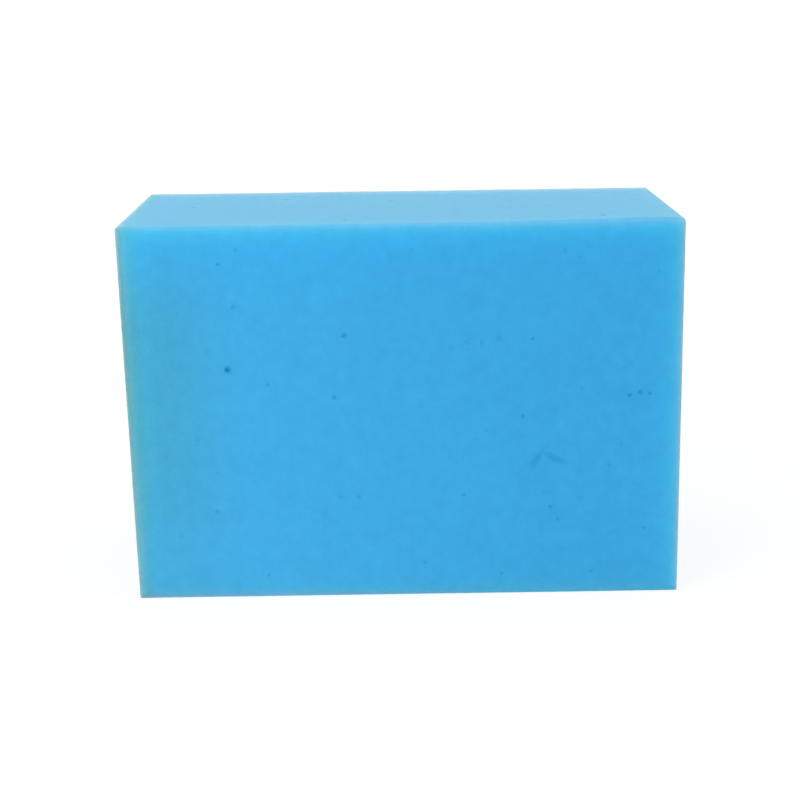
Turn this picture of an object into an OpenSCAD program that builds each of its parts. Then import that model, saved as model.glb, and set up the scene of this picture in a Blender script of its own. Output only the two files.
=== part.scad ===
// Plastering sponge: one cut block of fine blue open-cell foam.
// Millimetres, +Z up. The origin is the middle of the long narrow side that
// the block stands on; X runs along its length and Y through its thickness.

/* [Block] */
// Length of the block, left to right
block_length = 165; // [130:1:240]
// Thickness of the block, front to back
block_thickness = 70; // [50:1:100]
// Height of the block as it stands on its long narrow side
block_height = 115; // [90:1:160]
// Radius left on the edges by the saw cut
edge_radius = 0.6; // [0.4:0.1:3]

/* [Open cells] */
// Diameter of the largest cells that the saw opened
large_cell = 1.7; // [1.2:0.1:2.4]
// Diameter of the middle cells
middle_cell = 1.3; // [0.9:0.1:2]
// Diameter of the small cells
small_cell = 1; // [0.6:0.1:1.6]
// Distance between the cells on the faces where they lie evenly
cell_pitch = 24; // [16:1:40]
// Plain foam left between an open cell and the edge of its face
cell_margin = 4; // [3:0.5:10]
// Pattern of the cells, any whole number
cell_seed = 4; // [1:1:50]

/* [Press mark] */
// Middle of the press mark, measured to the right from the middle of the front
mark_right = 42; // [10:1:48]
// Middle of the press mark, measured up from the base
mark_up = 43; // [20:1:70]
// Length of each of its two strokes
mark_length = 8; // [4:0.5:12]
// Width of a stroke
mark_width = 2.4; // [1.5:0.1:4]
// Depth of a stroke
mark_depth = 0.3; // [0.2:0.1:0.8]

/* [Hidden] */
foam_blue = [0.25, 0.68, 0.9];
arc_steps = 32;  // segments of a full edge arc
cell_steps = 16; // segments of an open cell

// Open cells of the front face: right of the middle, up from the base, size.
front_cells = [
    [-52.3, 72.4, large_cell], [-17.5, 82.2, large_cell],
    [67, 62.5, middle_cell], [70.1, 63.3, middle_cell], [72.9, 62.8, small_cell],
    [-53.2, 104, small_cell], [-47.6, 108, middle_cell], [-49.3, 91.2, middle_cell],
    [-40.2, 67.7, small_cell], [-20.7, 63.5, middle_cell], [3.2, 107.5, small_cell],
    [47.5, 106.3, small_cell], [75, 99.4, small_cell], [38.2, 80.4, small_cell],
    [35.2, 56.7, small_cell], [52.7, 64.8, small_cell], [-19.9, 32.3, small_cell],
    [-57.2, 28.1, middle_cell], [-68.6, 20.3, small_cell], [-42.6, 7.3, small_cell],
    [17.3, 32.2, small_cell], [43.4, 28.1, small_cell], [45.9, 24.1, middle_cell],
    [71.9, 20.7, small_cell], [28.6, 6.6, small_cell], [56, 7, small_cell],
    [61.3, 40.9, small_cell], [5.2, 10.7, small_cell]
];

// The faces: place of the middle, turn that points +Z outwards, width, height.
front = [[0, -block_thickness / 2, block_height / 2], [90, 0, 0], block_length, block_height];
back = [[0, block_thickness / 2, block_height / 2], [90, 0, 180], block_length, block_height];
right = [[block_length / 2, 0, block_height / 2], [90, 0, 90], block_thickness, block_height];
left = [[-block_length / 2, 0, block_height / 2], [90, 0, -90], block_thickness, block_height];
top = [[0, 0, block_height], [0, 0, 0], block_length, block_thickness];
base = [[0, 0, 0], [180, 0, 0], block_length, block_thickness];
even_faces = [back, right, left, top, base];

// Puts what is drawn about the origin, +Z outwards, on the middle of a face.
module on_face(face) {
    translate(face[0]) rotate(face[1]) children();
}

// Rectangle about the origin with round corners.
module soft_rectangle(width, height, radius) {
    square([width - 2 * radius, height], center = true);
    square([width, height - 2 * radius], center = true);
    for (x = [-1, 1], y = [-1, 1])
        translate([x * (width / 2 - radius), y * (height / 2 - radius)])
            circle(radius, $fn = arc_steps);
}

// The plain block: its outline from the front, the side and above, where they meet.
module sawn_block() {
    translate([0, 0, block_height / 2])
        intersection() {
            linear_extrude(block_height, center = true)
                soft_rectangle(block_length, block_thickness, edge_radius);
            rotate([90, 0, 0])
                linear_extrude(block_thickness, center = true)
                    soft_rectangle(block_length, block_height, edge_radius);
            rotate([90, 0, 90])
                linear_extrude(block_length, center = true)
                    soft_rectangle(block_thickness, block_height, edge_radius);
        }
}

// A number from -0.5 to 0.5 that looks like chance and is the same every time.
function chance(column, row, which) =
    let (turn = 1000 * sin(47 * column + 29 * row + 101 * which + 13 * cell_seed))
    turn - floor(turn) - 0.5;

// True where an open cell keeps its margin to the edges of a face.
function fits(face, x, y) =
    abs(x) < face[2] / 2 - cell_margin && abs(y) < face[3] / 2 - cell_margin;

// A foam cell cut open at the origin, half of it below the face.
module open_cell(diameter) {
    sphere(d = diameter, $fn = cell_steps);
}

module front_cells() {
    on_face(front)
        for (cell = front_cells)
            if (fits(front, cell[0], cell[1] - block_height / 2))
                translate([cell[0], cell[1] - block_height / 2]) open_cell(cell[2]);
}

// One open cell in each square of a grid, off its middle by chance.
module even_cells(face, pattern) {
    columns = ceil(face[2] / cell_pitch / 2);
    rows = ceil(face[3] / cell_pitch / 2);
    on_face(face)
        for (column = [-columns:columns], row = [-rows:rows]) {
            x = cell_pitch * (column + chance(column, row, 3 * pattern));
            y = cell_pitch * (row + chance(column, row, 3 * pattern + 1));
            middle = chance(column, row, 3 * pattern + 2) > 0.2;
            if (fits(face, x, y))
                translate([x, y]) open_cell(middle ? middle_cell : small_cell);
        }
}

// Long shallow scoop along X: the foot of a ring that dips below the face.
module stroke() {
    tube = mark_width * mark_width / 8 / mark_depth;   // radius that gives the width
    reach = mark_length * mark_length / 8 / mark_depth; // and the length, at that depth
    translate([0, 0, reach - mark_depth])
        rotate([90, 0, 0])
            rotate_extrude($fn = 4 * arc_steps)
                translate([reach - tube, 0]) circle(tube, $fn = arc_steps);
}

// Two strokes that meet at the top, as a blunt corner pressed into the foam leaves.
module press_mark() {
    on_face(front)
        translate([mark_right, mark_up - block_height / 2]) {
            translate([-mark_length * 0.33, 0]) rotate(58) stroke();
            translate([mark_length * 0.33, 0.4]) rotate(-28) stroke();
        }
}

module foam_block() {
    color(foam_blue)
        difference() {
            sawn_block();
            front_cells();
            for (pattern = [0:len(even_faces) - 1]) even_cells(even_faces[pattern], pattern);
            press_mark();
        }
}

foam_block();
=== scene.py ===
import math

import bmesh
import bpy
from mathutils import Matrix, Vector, kdtree, noise


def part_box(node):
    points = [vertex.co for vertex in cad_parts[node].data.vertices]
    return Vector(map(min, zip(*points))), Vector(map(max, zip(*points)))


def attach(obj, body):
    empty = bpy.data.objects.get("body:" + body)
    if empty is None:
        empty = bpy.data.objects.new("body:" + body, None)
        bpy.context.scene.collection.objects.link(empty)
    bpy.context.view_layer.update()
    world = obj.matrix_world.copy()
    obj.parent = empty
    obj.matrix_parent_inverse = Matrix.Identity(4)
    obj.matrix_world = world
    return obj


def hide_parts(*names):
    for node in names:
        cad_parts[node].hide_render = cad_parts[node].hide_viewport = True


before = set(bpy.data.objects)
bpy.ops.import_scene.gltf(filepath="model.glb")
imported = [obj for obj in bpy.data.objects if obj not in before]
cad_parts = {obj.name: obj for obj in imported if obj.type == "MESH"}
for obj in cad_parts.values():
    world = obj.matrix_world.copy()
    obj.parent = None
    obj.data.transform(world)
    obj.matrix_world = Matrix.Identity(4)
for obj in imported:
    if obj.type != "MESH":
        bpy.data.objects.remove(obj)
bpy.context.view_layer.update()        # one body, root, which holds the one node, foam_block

mm = 0.001
blockLow, blockHigh = (Vector(corner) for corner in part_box("foam_block"))
blockSize = blockHigh - blockLow
blockMiddle = (blockLow + blockHigh) / 2

cameraSetup = {
    "lens": 67.75,                    # mm
    "sensor": 36,                     # mm, its width
    "clip": (0.01, 200),              # m, the nearest and farthest that it sees
    "place": (-3.3, -465.0, 183.75),  # mm, from the middle of the base
    "down": 15.76,                    # degrees below level
    "toRight": 0.26,                  # degrees off straight ahead
    "roll": 0.77,                     # degrees, clockwise
}


def addCamera(setup):
    lens = bpy.data.cameras.new("camera")
    lens.lens = setup["lens"]
    lens.sensor_width = setup["sensor"]
    lens.clip_start, lens.clip_end = setup["clip"]
    camera = bpy.data.objects.new("camera", lens)
    bpy.context.scene.collection.objects.link(camera)
    turn = (
        Matrix.Rotation(-math.radians(setup["toRight"]), 4, "Z")
        @ Matrix.Rotation(math.radians(90 - setup["down"]), 4, "X")
        @ Matrix.Rotation(-math.radians(setup["roll"]), 4, "Z")
    )
    camera.matrix_world = Matrix.Translation(Vector(setup["place"]) * mm) @ turn
    bpy.context.scene.camera = camera


addCamera(cameraSetup)
print("camera set")

foamBlock = {
    "edgeRadius": 0.6,        # mm, what the saw leaves on an edge
    "edgeSteps": 3,           # faces across such an edge
    "square": 1.25,           # mm, size of the mesh's plain squares
    "strayBase": (0.3, 0.8),  # mm to the right that the saw strayed, left end and right end
    "strayTop": (-0.4, -0.7),
    "dropTop": (0.05, 0.02),  # mm that it cut low
    "waveDepth": 0.12,        # mm, long soft waves in a sawn face
    "waveLength": 38,         # mm
    "grainDepth": 0.06,       # mm, unevenness of the cut cells
    "grainLength": 2.6,       # mm
    "riseFront": 1.35,        # mm that the top front edge rises on its way to the right corner
    "risePower": 5,           # the larger, the nearer to the corner it rises
    "riseLost": 0.78,         # share of the rise that the corner itself lost again
    "lostPower": 30,          # the larger, the nearer to the corner it was lost
    "softReach": 2.3,         # mm from that edge that is pressed round
    "softDepth": 0.5,         # mm
    "softMesh": 3.6,          # mm from it with a finer mesh
    "softSpots": 2,           # mm between the places along it where the mesh is made finer
}

largeCell, middleCell, smallCell = 1.7, 1.3, 1.0  # mm across

# Open cells of the front: mm right of the middle, mm above the base, mm across,
# and how deep it is and how dark the painted shade in it, up to 1
frontCells = [
    (-51.9, 72.4, largeCell, 1), (-17.1, 82.3, largeCell, 0.5),
    (67, 62.5, middleCell, 0.6), (70.1, 63.3, middleCell, 0.6), (72.9, 62.8, smallCell, 0.6),
    (-53.2, 104, smallCell, 0.5), (-47.6, 108, middleCell, 0.27),
    (-49.3, 91.2, middleCell, 0.35), (-40.2, 67.7, smallCell, 0.41),
    (-20.7, 63.5, middleCell, 0.41), (3.2, 107.5, smallCell, 0.2),
    (47.5, 106.3, smallCell, 0.27), (75, 99.4, smallCell, 0.27), (38.2, 80.4, smallCell, 0.4),
    (35.2, 56.7, smallCell, 0.5), (52.7, 64.8, smallCell, 0.16), (-19.9, 32.3, smallCell, 0.33),
    (-57.2, 28.1, middleCell, 0.34), (-68.6, 20.3, smallCell, 0.27),
    (-42.6, 7.3, smallCell, 0.41), (17.3, 32.2, smallCell, 0.34),
    (43.4, 28.1, smallCell, 0.41), (45.9, 24.1, middleCell, 0.26),
    (71.9, 20.7, smallCell, 0.41), (28.6, 6.6, smallCell, 0.34), (56, 7, smallCell, 0.34),
    (61.3, 40.9, smallCell, 0.34), (5.2, 10.7, smallCell, 0.27),
    (51.9, 104.2, smallCell, 0.16), (-14.3, 32.2, smallCell, 0.2),
    (24.2, 52.7, smallCell, 0.2), (-62, 50.9, smallCell, 0.2), (-56.3, 40.5, smallCell, 0.2),
    (14.5, 78.2, largeCell, 0.08), (19, 79.9, largeCell, 0.08), (23.4, 79.4, largeCell, 0.1),
    (28.4, 80.6, largeCell, 0.13), (52.2, 30.7, smallCell, 0.2), (67.2, 72.2, smallCell, 0.14),
    (64.6, 47.7, smallCell, 0.14),
]

# Where they lie evenly over the other faces
evenCells = {
    "pitch": 24,          # mm between them
    "margin": 4,          # mm of plain foam left at the edges of a face
    "pattern": 4,         # any whole number
    "middleFrom": 0.2,    # chance above which a cell is a middle one and not a small one
    "dark": 0.3,          # of a cell of chance 0, as in frontCells
    "darkSpread": 0.3,    # how much darker it gets for each 1 of chance
}

# How a cell is cut into the mesh
cellShape = {
    "fineMesh": (1.3, 0.4),   # mm around a cell with a finer mesh, one round after the other
    "depth": 0.65,            # radii, of a cell as dark as can be
    "rimStray": 0.25,         # share of the radius that the rim strays from round
    "rimWaves": 1.3,          # the larger, the more waves in the rim
    "rimPattern": 900,        # makes every rim another
    "shadeReach": 1.6,       # radii from the middle, as far as the painted shade of a cell reaches
    "shadeStart": 1.4,       # share of its darkness in the middle; above 1 it counts as 1
    "shadeFall": 0.9,        # how much of that share is lost at the rim
}

# Each face: its outward axis, and which way is across it and up it
faces = {
    "front": (Vector((0, -1, 0)), Vector((1, 0, 0)), Vector((0, 0, 1))),
    "back": (Vector((0, 1, 0)), Vector((-1, 0, 0)), Vector((0, 0, 1))),
    "right": (Vector((1, 0, 0)), Vector((0, 1, 0)), Vector((0, 0, 1))),
    "left": (Vector((-1, 0, 0)), Vector((0, -1, 0)), Vector((0, 0, 1))),
    "top": (Vector((0, 0, 1)), Vector((1, 0, 0)), Vector((0, 1, 0))),
    "base": (Vector((0, 0, -1)), Vector((1, 0, 0)), Vector((0, -1, 0))),
}


def spread(axis):
    # the block's size along an axis that may point either way
    return sum(abs(a) * size for a, size in zip(axis, blockSize))


def onFace(name, across, up):
    # a point on a face, from mm off its middle
    outward, acrossAxis, upAxis = faces[name]
    middle = blockMiddle + outward * spread(outward) / 2
    return middle + (acrossAxis * across + upAxis * up) * mm


def chance(column, row, which):
    # from -0.5 to 0.5, looks like chance and is the same every time
    turn = 47 * column + 29 * row + 101 * which + 13 * evenCells["pattern"]
    value = 1000 * math.sin(math.radians(turn))
    return value - math.floor(value) - 0.5


def cellsOver(name, pattern):
    width, height = (spread(axis) / mm for axis in faces[name][1:])
    pitch, margin = evenCells["pitch"], evenCells["margin"]
    columns, rows = math.ceil(width / pitch / 2), math.ceil(height / pitch / 2)
    for column in range(-columns, columns + 1):
        for row in range(-rows, rows + 1):
            across = pitch * (column + chance(column, row, 3 * pattern))
            up = pitch * (row + chance(column, row, 3 * pattern + 1))
            luck = chance(column, row, 3 * pattern + 2)
            size = middleCell if luck > evenCells["middleFrom"] else smallCell
            dark = evenCells["dark"] + evenCells["darkSpread"] * luck
            if abs(across) < width / 2 - margin and abs(up) < height / 2 - margin:
                yield name, across, up, size, dark


def allCells():
    # for each cell its middle, the way out of its face, its radius and its darkness
    half = blockSize.z / mm / 2
    cells = [("front", right, up - half, size, dark) for right, up, size, dark in frontCells]
    for pattern, name in enumerate(("back", "right", "left", "top", "base")):
        cells += cellsOver(name, pattern)
    return [(onFace(name, across, up), faces[name][0], size / 2 * mm, dark)
            for name, across, up, size, dark in cells]


def roundedBlock(setup):
    block = bmesh.new()
    bmesh.ops.create_cube(block, size=1)
    bmesh.ops.scale(block, vec=blockSize, verts=block.verts)
    bmesh.ops.translate(block, vec=blockMiddle, verts=block.verts)
    bmesh.ops.bevel(
        block, geom=block.edges[:], offset=setup["edgeRadius"] * mm, offset_type="OFFSET",
        segments=setup["edgeSteps"], profile=0.5, affect="EDGES", material=-1,
    )
    for axis in range(3):
        span = blockSize[axis] - 2 * setup["edgeRadius"] * mm
        along = [edge for edge in block.edges  # those that run the whole way
                 if abs(abs((edge.verts[0].co - edge.verts[1].co)[axis]) - span) < 0.1 * mm]
        cuts = round(span / (setup["square"] * mm)) - 1
        bmesh.ops.subdivide_edges(block, edges=along, cuts=cuts, use_grid_fill=True)
    return block


def findNear(block, spots):
    # for each spot, a place and a reach, the points of the mesh within it
    block.verts.ensure_lookup_table()
    tree = kdtree.KDTree(len(block.verts))
    for number, vert in enumerate(block.verts):
        tree.insert(vert.co, number)
    tree.balance()
    return [[block.verts[found[1]] for found in tree.find_range(place, reach)]
            for place, reach in spots]


def refineNear(block, spots, cuts):
    near = {vert for found in findNear(block, spots) for vert in found}
    edges = [edge for edge in block.edges if edge.verts[0] in near and edge.verts[1] in near]
    bmesh.ops.subdivide_edges(block, edges=edges, cuts=cuts, use_grid_fill=True)
    many = [face for face in block.faces if len(face.verts) > 4]
    bmesh.ops.triangulate(block, faces=many)


# Press mark on the front: mm right of the middle and above the base, mm long, wide and deep, and
# how dark the painted shade in it is;
# each stroke: how far it lies right and up, in lengths, and degrees turned anticlockwise
frontMark = {
    "right": 42, "up": 43, "length": 8, "width": 2.4, "depth": 0.3, "dark": 0.4,
    "strokes": ((-0.33, 0, 58), (0.33, 0.05, -28)),
}


def openCells(block, cells, shape, shade):
    for around in shape["fineMesh"]:
        spots = [(place, radius + around * mm) for place, outward, radius, dark in cells]
        refineNear(block, spots, 2)
    spots = [(place, shape["shadeReach"] * radius) for place, outward, radius, dark in cells]
    for (place, outward, radius, dark), verts in zip(cells, findNear(block, spots)):
        for vert in verts:
            away = vert.co - place
            away -= outward * away.dot(outward)
            wave = away.normalized() * shape["rimWaves"] + place * shape["rimPattern"]
            rim = radius * (1 + shape["rimStray"] * noise.noise(wave))
            share = away.length / rim
            if share < 1:
                depth = shape["depth"] * math.sqrt(dark) * (1 - share * share)
                vert.co -= outward * radius * depth
            # painted shade in and around the cell, darkest in the middle
            colour = shape["shadeStart"] - shape["shadeFall"] * share
            vert[shade] = max(vert[shade], dark * min(1, max(0, colour)))


def pressMark(block, mark, shade):
    # the hollow that something long left under light pressure, in two strokes, with painted shade
    # in it
    outward, acrossAxis, upAxis = faces["front"]
    middle = onFace("front", mark["right"], mark["up"] - blockSize.z / mm / 2)
    refineNear(block, [(middle, mark["length"] * mm)], 1)
    for along, up, turn in mark["strokes"]:
        centre = middle + (acrossAxis * along + upAxis * up) * mark["length"] * mm
        turned = Matrix.Rotation(math.radians(turn), 3, outward)
        run, side = turned @ acrossAxis, turned @ upAxis
        for vert in findNear(block, [(centre, mark["length"] * mm)])[0]:
            away = (vert.co - centre) / mm
            share = 2 * math.hypot(away.dot(run) / mark["length"], away.dot(side) / mark["width"])
            pressed = max(0, 1 - share * share)
            vert.co -= outward * mark["depth"] * pressed * mm
            # painted shade in the hollow
            vert[shade] = max(vert[shade], mark["dark"] * math.sqrt(pressed))


def softenTopFront(block, setup):
    # the edge that is gripped most gave way a little
    steps = math.ceil(blockSize.x / (setup["softSpots"] * mm))
    along = [blockLow.x + blockSize.x * step / steps for step in range(steps + 1)]
    places = [Vector((x, blockLow.y, blockHigh.z)) for x in along]
    refineNear(block, [(place, setup["softMesh"] * mm) for place in places], 1)
    for vert in block.verts:
        away = math.hypot(vert.co.y - blockLow.y, vert.co.z - blockHigh.z) / mm
        depth = setup["softDepth"] * max(0, 1 - away / setup["softReach"]) ** 2
        vert.co += Vector((0, depth, -depth)) * math.sqrt(0.5) * mm


def markEdges(block, away):
    # mm from each point to the nearest edge of the block
    for vert in block.verts:
        off = vert.co - blockMiddle
        inside = sorted(blockSize[axis] / 2 - abs(off[axis]) for axis in range(3))
        vert[away] = inside[1] / mm


def roughen(block, setup):
    # the saw only takes foam away, so every point moves inwards
    block.normal_update()
    for vert in block.verts:
        wave = 0.5 + 0.5 * noise.noise(vert.co / (setup["waveLength"] * mm))
        grain = 0.5 + 0.5 * noise.noise(vert.co / (setup["grainLength"] * mm))
        depth = setup["waveDepth"] * wave + setup["grainDepth"] * grain
        vert.co -= vert.normal * depth * mm


def sawOutOfSquare(block, setup):
    for vert in block.verts:
        right, back, up = ((vert.co - blockLow)[axis] / blockSize[axis] for axis in range(3))
        base = setup["strayBase"][0] * (1 - right) + setup["strayBase"][1] * right
        top = setup["strayTop"][0] * (1 - right) + setup["strayTop"][1] * right
        drop = setup["dropTop"][0] * (1 - right) + setup["dropTop"][1] * right
        rise = setup["riseFront"] * max(0, right) ** setup["risePower"]
        rise *= 1 - setup["riseLost"] * min(1, right) ** setup["lostPower"]
        vert.co.x += (base * (1 - up) + top * up) * mm
        vert.co.z += (rise * (1 - back) - drop) * up * mm


sheet = {"side": 312, "gap": 2}  # mm, the square that the faces are laid out on


def unwrap(block):
    layer = block.loops.layers.uv.new("OFBake")
    length, depth, height = (size / mm for size in blockSize)
    gap = sheet["gap"]
    corner = {
        "front": (gap, gap), "back": (gap, 2 * gap + height), "top": (gap, 3 * gap + 2 * height),
        "base": (2 * gap + length, gap), "left": (2 * gap + length, 2 * gap + length),
        "right": (3 * gap + length + depth, gap),
    }
    for face in block.faces:
        name = max(faces, key=lambda each: face.normal.dot(faces[each][0]))
        outward, acrossAxis, upAxis = faces[name]
        low = onFace(name, -spread(acrossAxis) / mm / 2, -spread(upAxis) / mm / 2)
        for loop in face.loops:
            across = (loop.vert.co - low).dot(acrossAxis) / mm
            up = (loop.vert.co - low).dot(upAxis) / mm
            if name == "base":  # turned a quarter, to fit the sheet
                across, up = spread(upAxis) / mm - up, across
            loop[layer].uv = ((corner[name][0] + across) / sheet["side"],
                              (corner[name][1] + up) / sheet["side"])


def makeFoamBlock(setup):
    block = roundedBlock(setup)
    # the painted shade of the open cells and the press mark
    shade = block.verts.layers.float.new("hollowShade")
    away = block.verts.layers.float.new("edgeAway")
    openCells(block, allCells(), cellShape, shade)
    pressMark(block, frontMark, shade)
    unwrap(block)
    markEdges(block, away)
    softenTopFront(block, setup)
    roughen(block, setup)
    sawOutOfSquare(block, setup)
    mesh = bpy.data.meshes.new("foamBlock")
    block.to_mesh(mesh)
    block.free()
    mesh.shade_smooth()
    foam = bpy.data.objects.new("foamBlock", mesh)
    bpy.context.scene.collection.objects.link(foam)
    return foam


foam = makeFoamBlock(foamBlock)
print("foam block", len(foam.data.vertices), "points", len(foam.data.polygons), "faces")


class Wire:
    # a number in a node tree; sums, differences and products add Math nodes
    def __init__(self, tree, socket):
        self.tree, self.socket = tree, socket

    def math(self, operation, first, second):
        return self.tree.node("ShaderNodeMath", {"operation": operation}, {0: first, 1: second})

    def __add__(self, other):
        return self.math("ADD", self, other)

    def __sub__(self, other):
        return self.math("SUBTRACT", self, other)

    def __rsub__(self, other):
        return self.math("SUBTRACT", other, self)

    def __mul__(self, other):
        return self.math("MULTIPLY", self, other)

    __radd__ = __add__
    __rmul__ = __mul__

    def beside(self, name):
        # another output of the same node
        return Wire(self.tree, self.socket.node.outputs[name])


class NodeSet:
    # the nodes of one material or world
    def __init__(self, owner):
        owner.use_nodes = True
        self.tree = owner.node_tree

    def fill(self, node, sockets):
        for name, value in sockets.items():
            if isinstance(value, Wire):
                self.tree.links.new(value.socket, node.inputs[name])
            else:
                node.inputs[name].default_value = value

    def node(self, kind, settings, sockets, output=0):
        node = self.tree.nodes.new(kind)
        for name, value in settings.items():
            setattr(node, name, value)
        self.fill(node, sockets)
        return Wire(self, node.outputs[output])


def mixColours(nodes, share, first, second):
    settings = {"data_type": "RGBA", "blend_type": "MIX"}
    sockets = {0: share, 6: first, 7: second}  # 6 and 7 are its two colours
    return nodes.node("ShaderNodeMix", settings, sockets, output=2)


def slope(nodes, value, start, end, first, last):
    # from first to last as the value goes from start to end
    return nodes.node("ShaderNodeMapRange", {"interpolation_type": "SMOOTHSTEP"}, {
        "Value": value, "From Min": start, "From Max": end, "To Min": first, "To Max": last,
    })


def objectPlace(nodes):
    return nodes.node("ShaderNodeTexCoord", {}, {}, output="Object")


def meshValue(nodes, layer):
    return nodes.node("ShaderNodeAttribute", {"attribute_name": layer}, {}, output="Fac")


def foamCells(nodes, place, size):
    sockets = {"Vector": place, "Scale": 1 / (size * mm), "Randomness": 1.0}
    return nodes.node("ShaderNodeTexVoronoi", {"feature": "F1"}, sockets, output="Distance")


def cloud(nodes, place, size, detail):
    sockets = {"Vector": place, "Scale": 1 / (size * mm), "Detail": detail}
    return nodes.node("ShaderNodeTexNoise", {}, sockets)


def fromEdge(nodes, place, reach, across, edge):
    # 1 at an edge of the block, falling to 0 at this many mm from it
    flat = nodes.node("ShaderNodeVectorMath", {"operation": "MULTIPLY"}, {0: place, 1: across})
    settings, sockets = {"operation": "DISTANCE"}, {0: flat, 1: edge}
    away = nodes.node("ShaderNodeVectorMath", settings, sockets, output="Value")
    return slope(nodes, away, 0.0, reach * mm, 1.0, 0.0)


foamLook = {
    "blue": (0.0435, 0.435, 0.785, 1),
    "hollowShadeBlue": (0.001, 0.235, 0.51, 1),  # painted shade inside an open cell and the press mark
    "deepBlueAndShade": (0.008, 0.2, 0.45, 1),     # painted shade in the hollows of the fine cells, and the uneven colour
    "paleBlue": (0.12, 0.52, 0.84, 1),     # the wall of a cell that lies flat in the cut
    "edgeLightShadeBlue": (0.06, 0.385, 0.65, 1),    # painted light and shade along the edges: redder, less green and less blue, where the rounding catches sheen
    "edgeLightShadeReach": 2.6,        # mm
    "edgeLightShadeFrom": 20,          # mm above the base, from where the edges take the whole tint
    "footShadeBlue": (0.014, 0.46, 0.81, 1),    # painted shade along the base, which takes out the sheen that the glowing floor puts on the rounded foot
    "footShadeReach": 2.2,        # mm
    "paintedSheenBlue": (0.1, 0.42, 0.74, 1),      # painted sheen: a greyer, redder strip along the top front edge, where it catches light
    "paintedSheenReach": 2.4,        # mm
    "topLightBlue": (0.057, 0.456, 0.766, 1),   # painted light: the top paler and greener, as light falls on it
    "topLightReach": 5,           # mm, from the top down
    # Painted light and shade near the front left edge: a greener, less blue tint where light
    # comes from the left, and painted shade that dulls the pale rim; how many mm from it, the
    # colour there, and the share of it at the base and at the top
    "paintedLeftLight": (
        (130, (0.056, 0.455, 0.8, 1), 1.4, 0.4), (40, (0.063, 0.4, 0.56, 1), 0.5, 0.3),
        (7, (0.067, 0.295, 0.33, 1), 0.9, 0.5), (2, (0.025, 0.125, 0.085, 1), 1.0, 0.6),
    ),
    "paintedLeftLightMost": (45, 80),    # mm above the base, between which the share is whole
    "paintedLeftLightEnd": (8, (0.036, 0.32, 0.42, 1), 0.8),  # the same painted light and shade, from the left edge of the top
    "cell": 1.0,             # mm, the cells that show as a fine grain
    "fineCell": 0.5,         # mm
    "fineShare": 0.35,       # of the grain
    "relief": 0.1,           # mm, depth of that grain
    "cellShadeTint": 0.05,        # painted shade: how far the hollows of the cells take on the deep blue
    "speck": 2.2,            # mm between the somewhat larger cells
    "speckSize": 0.45,       # mm, half their width
    "speckTint": 0.16,
    "speckDark": (0.45, 0.55),  # by chance, 0 to 1, they turn from pale to dark here
    "hollowShadeTint": 0.9,         # painted shade: how far the darkest open cell takes on the hollow blue
    "blotches": ((22, 0.07), (6, 0.13), (3, 0.17)),  # mm across and tint of the uneven colour
    "blotchDetail": 2.0,     # the larger, the finer their outline
    "roughness": 0.95,
    "gloss": 0.1,            # the foam mirrors next to nothing
    "depth": 0.035,          # m that light travels in the foam
    "through": 0.6,          # share of the light that goes that way
    "sheen": 0.375,          # the pale haze of the cut cells, seen at a low angle
    "sheenSpread": 0.5,
}


def paintedLightColours(nodes, look, place, height):
    # the blue of the block, with painted light on the top, painted light and shade along the
    # edges, painted shade along the base and painted sheen along the top front edge
    # painted light on the top
    topLight = slope(nodes, height, blockHigh.z - look["topLightReach"] * mm, blockHigh.z, 0.0, 1.0)
    colour = mixColours(nodes, topLight, look["blue"], look["topLightBlue"])
    # painted sheen and shade along the rounded edges, less of it near the base
    edgeLightShade = slope(nodes, meshValue(nodes, "edgeAway"), 0.0, look["edgeLightShadeReach"], 1.0, 0.0)
    edgeLightShade *= slope(nodes, height, 0.0, look["edgeLightShadeFrom"] * mm, 0.0, 1.0)
    colour = mixColours(nodes, edgeLightShade, colour, look["edgeLightShadeBlue"])
    # painted shade along the base
    footShade = slope(nodes, height, 0.0, look["footShadeReach"] * mm, 1.0, 0.0)
    colour = mixColours(nodes, footShade, colour, look["footShadeBlue"])
    # painted sheen along the top front edge
    paintedSheen = fromEdge(nodes, place, look["paintedSheenReach"], (0, 1, 1), (0, blockLow.y, blockHigh.z))
    return mixColours(nodes, paintedSheen, colour, look["paintedSheenBlue"])


# painted light and shade at the left end of the block, along its front and top edges
def paintedLeftLightColours(nodes, look, place, height, colour):
    reach, leftLightColour, most = look["paintedLeftLightEnd"]
    leftTop = fromEdge(nodes, place, reach, (1, 0, 1), (blockLow.x, 0, blockHigh.z))
    colour = mixColours(nodes, leftTop * most, colour, leftLightColour)
    wholeFrom, wholeTo = (each * mm for each in look["paintedLeftLightMost"])
    for reach, leftLightColour, atBase, atTop in look["paintedLeftLight"]:
        share = slope(nodes, height, 0.0, wholeFrom, atBase, 1.0)
        share *= slope(nodes, height, wholeTo, blockHigh.z, 1.0, atTop)
        frontLeft = fromEdge(nodes, place, reach, (1, 1, 0), (blockLow.x, blockLow.y, 0))
        colour = mixColours(nodes, frontLeft * share, colour, leftLightColour)
    return colour


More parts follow.
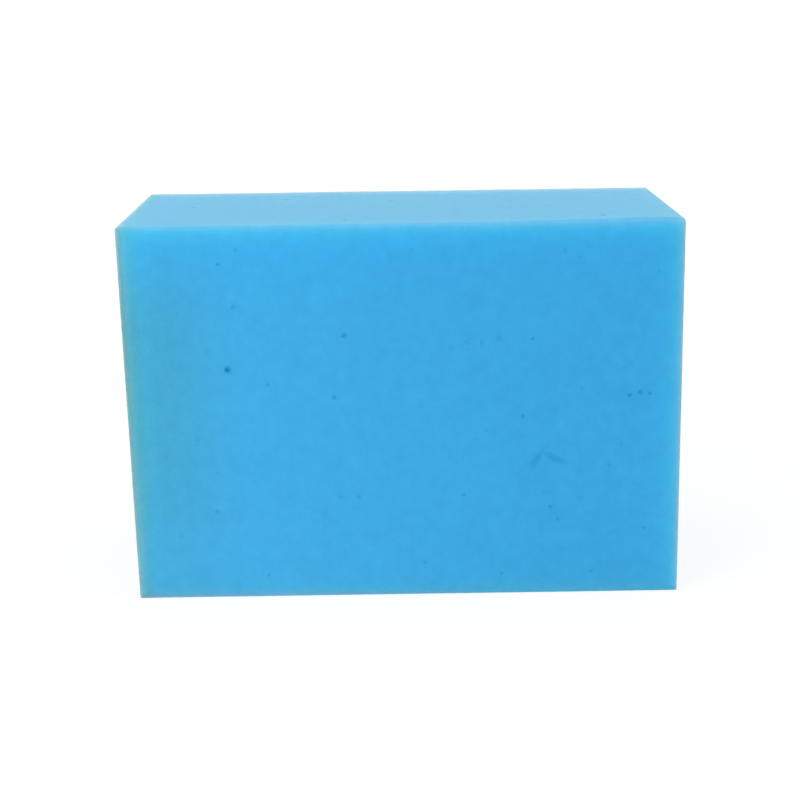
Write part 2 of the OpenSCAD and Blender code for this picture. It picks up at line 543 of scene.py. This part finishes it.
def cellColours(nodes, look, place, grain, colour):
    # painted shade in the hollows of the fine cells, then the uneven colour
    shadeAndTint = (1 - grain) * look["cellShadeTint"]
    for size, share in look["blotches"]:
        shadeAndTint += cloud(nodes, place, size, look["blotchDetail"]) * share
    colour = mixColours(nodes, shadeAndTint, colour, look["deepBlueAndShade"])
    larger = foamCells(nodes, place, look["speck"])
    speck = slope(nodes, larger, 0.0, look["speckSize"] / look["speck"], look["speckTint"], 0.0)
    kind = nodes.node("ShaderNodeSeparateColor", {}, {0: larger.beside("Color")}, output="Red")
    dark = slope(nodes, kind, *look["speckDark"], 0.0, 1.0)
    colour = mixColours(nodes, speck * dark, colour, look["deepBlueAndShade"])
    colour = mixColours(nodes, speck * (1 - dark), colour, look["paleBlue"])
    # painted shade of the open cells and the press mark
    hollowShaded = meshValue(nodes, "hollowShade") * look["hollowShadeTint"]
    return mixColours(nodes, hollowShaded, colour, look["hollowShadeBlue"])


def foamMaterial(look):
    material = bpy.data.materials.new("foam")
    nodes = NodeSet(material)
    place = objectPlace(nodes)
    height = nodes.node("ShaderNodeSeparateXYZ", {}, {0: place}, output="Z")
    grain = foamCells(nodes, place, look["cell"]) * (1 - look["fineShare"])
    grain += foamCells(nodes, place, look["fineCell"]) * look["fineShare"]
    colour = paintedLightColours(nodes, look, place, height)
    colour = paintedLeftLightColours(nodes, look, place, height, colour)
    colour = cellColours(nodes, look, place, grain, colour)
    bump = nodes.node("ShaderNodeBump", {}, {
        "Height": grain, "Distance": look["relief"] * mm, "Strength": 1.0,
    }, output="Normal")
    nodes.fill(nodes.tree.nodes["Principled BSDF"], {
        "Base Color": colour, "Normal": bump,
        "Roughness": look["roughness"], "Specular IOR Level": look["gloss"],
        "Subsurface Weight": look["through"], "Subsurface Radius": (1, 1, 1),
        "Subsurface Scale": look["depth"],
        "Sheen Weight": look["sheen"], "Sheen Roughness": look["sheenSpread"],
    })
    return material


foam.data.materials.append(foamMaterial(foamLook))
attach(foam, "root")
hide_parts("foam_block")
print("foam finished")

studio = {
    "floorGrey": 0.9,       # lit by the lamps as a pale matt sheet
    "floorWhite": 0.8,      # share of plain white seen in it around the block
    "whiteStrength": 1.05,
    "glow": 0.22,           # share of it that lights the block from below, as on a light table
    "whiteFrom": 0.15,      # m from the middle, where the sheet turns plain white
    "whiteTo": 0.5,
    "floorReach": 40,       # m
    "floorSides": 64,
    "skyStrength": 0.2,
}

# Soft boxes: place in m, size in m, watts; all point at the middle of the block
softBoxes = {
    "above": ((0, -0.1, 1.2), (1.0, 1.0), 10.9),
    "frontLeft": ((-0.95, -0.8, 0.28), (0.7, 0.7), 12.5),
    "behind": ((0.6, 0.9, 0.1), (0.6, 0.2), 5.0),
}


def seenRay(nodes):
    # 1 for what the camera sees straight, in a gloss or through glass
    camera = nodes.node("ShaderNodeLightPath", {}, {}, output="Is Camera Ray")
    return camera + camera.beside("Is Glossy Ray") + camera.beside("Is Transmission Ray")


def addFloor(setup):
    shape = bmesh.new()
    sides, reach = setup["floorSides"], setup["floorReach"]
    bmesh.ops.create_circle(shape, cap_ends=True, segments=sides, radius=reach)
    mesh = bpy.data.meshes.new("floor")
    shape.to_mesh(mesh)
    shape.free()
    floor = bpy.data.objects.new("floor", mesh)
    bpy.context.scene.collection.objects.link(floor)
    material = bpy.data.materials.new("floor")
    nodes = NodeSet(material)
    nodes.tree.nodes.remove(nodes.tree.nodes["Principled BSDF"])
    sockets = {0: objectPlace(nodes)}
    away = nodes.node("ShaderNodeVectorMath", {"operation": "LENGTH"}, sockets, output="Value")
    plain = slope(nodes, away, setup["whiteFrom"], setup["whiteTo"], setup["floorWhite"], 1.0)
    grey = setup["floorGrey"]
    sheetShader = nodes.node("ShaderNodeBsdfDiffuse", {}, {"Color": (grey, grey, grey, 1)})
    white = nodes.node("ShaderNodeEmission", {}, {
        "Color": (1, 1, 1, 1), "Strength": setup["whiteStrength"],
    })
    glow = setup["glow"]
    both = nodes.node("ShaderNodeMixShader", {}, {
        0: seenRay(nodes) * (plain - glow) + glow, 1: sheetShader, 2: white,
    })
    nodes.fill(nodes.tree.nodes["Material Output"], {"Surface": both})
    material.cycles.emission_sampling = "NONE"  # too large to be sampled as a lamp
    mesh.materials.append(material)


def lightSky(setup):
    world = bpy.data.worlds.new("sky")
    nodes = NodeSet(world)
    nodes.fill(nodes.tree.nodes["Background"], {
        "Color": (1, 1, 1, 1),
        "Strength": seenRay(nodes) * (1 - setup["skyStrength"]) + setup["skyStrength"],
    })
    bpy.context.scene.world = world


def hangSoftBox(name, place, size, watts):
    light = bpy.data.lights.new(name, "AREA")
    light.shape = "RECTANGLE"
    light.size, light.size_y = size
    light.energy = watts
    box = bpy.data.objects.new(name, light)
    bpy.context.scene.collection.objects.link(box)
    box.location = place
    box.rotation_euler = (blockMiddle - Vector(place)).to_track_quat("-Z", "Y").to_euler()
    box.visible_camera = False


addFloor(studio)
lightSky(studio)
for name, (place, size, watts) in softBoxes.items():
    hangSoftBox(name, place, size, watts)
bpy.context.scene.view_settings.view_transform = "Standard"
print("studio lit")
